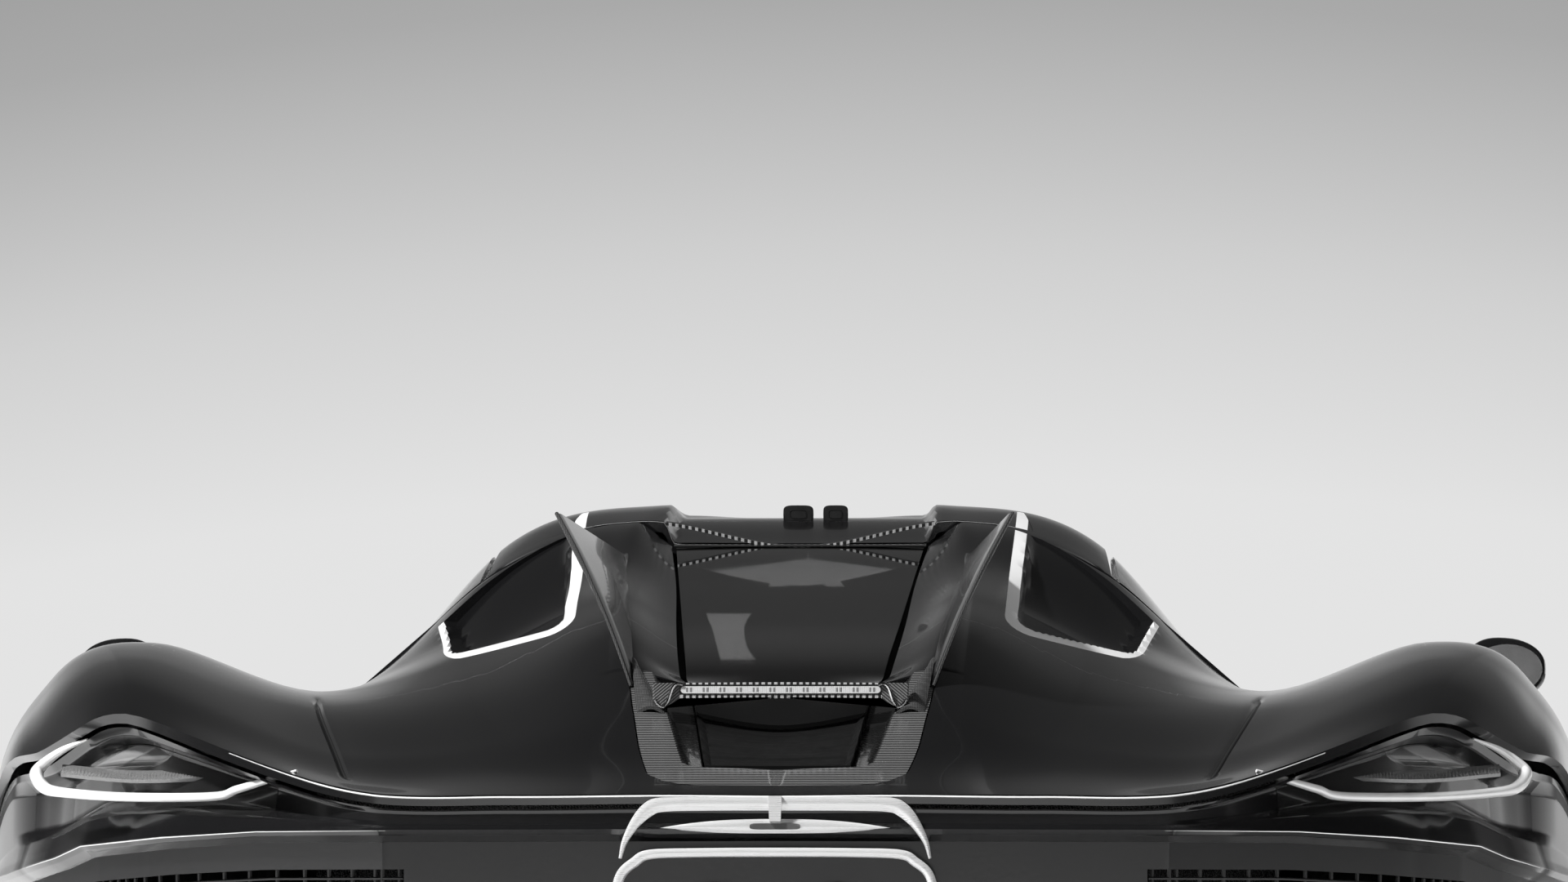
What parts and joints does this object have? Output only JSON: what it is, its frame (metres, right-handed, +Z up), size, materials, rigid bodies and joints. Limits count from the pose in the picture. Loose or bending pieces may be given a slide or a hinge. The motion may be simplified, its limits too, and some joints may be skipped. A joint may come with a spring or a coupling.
{
  "type": "hypercar",
  "caption": "Low mid-engined two-seat car with a long sloping rear window between two fins, wide rear haunches, hinged doors, hood and rear cover, steered front wheels.",
  "frame": {"origin": "on the ground under the middle of the car", "axes": "+X to the car's right, +Y forward, +Z up"},
  "size_m": [2.2656, 4.845, 1.2048],
  "materials": {
    "carbon": "carbon weave under clear lacquer",
    "dark_glass": "dark tinted glass",
    "paint": "gloss black paint",
    "lamp": "clear and smoked lamp lens",
    "satin": "satin black",
    "steel": "machined steel",
    "alloy": "dark alloy wheel",
    "rubber": "black tyre rubber",
    "heated": "heat-darkened metal",
    "trim": "dark cabin trim"
  },
  "bodies": {
    "chassis": {"monocoque_tub": "carbon", "cabin_frame": "carbon", "front_splitter": "carbon", "diffuser": "carbon", "windscreen": "dark_glass", "roof_panel": "paint", "front_clamshell": "paint", "front_bumper": "paint", "quarter_left": "paint", "quarter_right": "paint", "rear_bumper": "paint", "headlamp_left": "lamp", "headlamp_right": "lamp", "tail_lamp_left": "lamp", "tail_lamp_right": "lamp", "front_frame": "satin", "luggage_tub": "satin", "rear_frame": "satin", "rear_grille_left": "satin", "rear_grille_right": "satin", "engine": "heated", "exhaust": "heated", "seat_left": "trim", "seat_right": "trim", "dashboard": "trim"},
    "door_left": {"door_left": "paint", "door_glass_left": "dark_glass", "mirror_left": "paint"},
    "door_right": {"door_right": "paint", "door_glass_right": "dark_glass", "mirror_right": "paint"},
    "hood": {"hood": "paint"},
    "engine_cover": {"rear_clamshell": "paint", "rear_glass": "dark_glass", "deck_surround": "carbon", "brake_light_bar": "lamp", "fin_left": "paint", "fin_right": "paint"},
    "steer_left": {"knuckle_left": "steel"},
    "steer_right": {"knuckle_right": "steel"},
    "wheel_front_left": {"rim_front_left": "alloy", "tyre_front_left": "rubber"},
    "wheel_front_right": {"rim_front_right": "alloy", "tyre_front_right": "rubber"},
    "wheel_rear_left": {"rim_rear_left": "alloy", "tyre_rear_left": "rubber"},
    "wheel_rear_right": {"rim_rear_right": "alloy", "tyre_rear_right": "rubber"},
    "steering_wheel": {"steering_wheel": "trim"}
  },
  "joints": [
    {"name": "door_left_hinge", "type": "hinge", "parent": "chassis", "child": "door_left", "pos_m": [-0.952, 0.985, 0.52], "axis": [-0.1736, 0, -0.9848], "range_deg": [0, 60]},
    {"name": "door_right_hinge", "type": "hinge", "parent": "chassis", "child": "door_right", "pos_m": [0.952, 0.985, 0.52], "axis": [-0.1736, 0, 0.9848], "range_deg": [0, 60]},
    {"name": "hood_hinge", "type": "hinge", "parent": "chassis", "child": "hood", "pos_m": [0, 1.291, 0.74111], "axis": [1, 0, 0], "range_deg": [0, 60]},
    {"name": "engine_cover_hinge", "type": "hinge", "parent": "chassis", "child": "engine_cover", "pos_m": [0, -2.398, 0.74465], "axis": [1, 0, 0], "range_deg": [0, 50]},
    {"name": "steering_left", "type": "hinge", "parent": "chassis", "child": "steer_left", "pos_m": [-0.74, 1.4475, 0.347], "axis": [0, 0, 1], "range_deg": [-32, 32]},
    {"name": "steering_right", "type": "hinge", "parent": "chassis", "child": "steer_right", "pos_m": [0.74, 1.4475, 0.347], "axis": [0, 0, 1], "range_deg": [-32, 32]},
    {"name": "steering_wheel_turn", "type": "hinge", "parent": "chassis", "child": "steering_wheel", "pos_m": [-0.36, 0.5233, 0.6856], "axis": [0, 0.9363, -0.3511], "range_deg": [-384, 384]},
    {"name": "wheel_front_left_spin", "type": "hinge", "parent": "steer_left", "child": "wheel_front_left", "pos_m": [-0.85, 1.4475, 0.347], "axis": [1, 0, 0], "continuous": true},
    {"name": "wheel_front_right_spin", "type": "hinge", "parent": "steer_right", "child": "wheel_front_right", "pos_m": [0.85, 1.4475, 0.347], "axis": [1, 0, 0], "continuous": true},
    {"name": "wheel_rear_left_spin", "type": "hinge", "parent": "chassis", "child": "wheel_rear_left", "pos_m": [-0.828, -1.2525, 0.364], "axis": [1, 0, 0], "continuous": true},
    {"name": "wheel_rear_right_spin", "type": "hinge", "parent": "chassis", "child": "wheel_rear_right", "pos_m": [0.828, -1.2525, 0.364], "axis": [1, 0, 0], "continuous": true}
  ],
  "couplings": [
    {"joint": "steering_right", "follows": "steering_left", "ratio": 1},
    {"joint": "steering_wheel_turn", "follows": "steering_left", "ratio": -12}
  ]
}
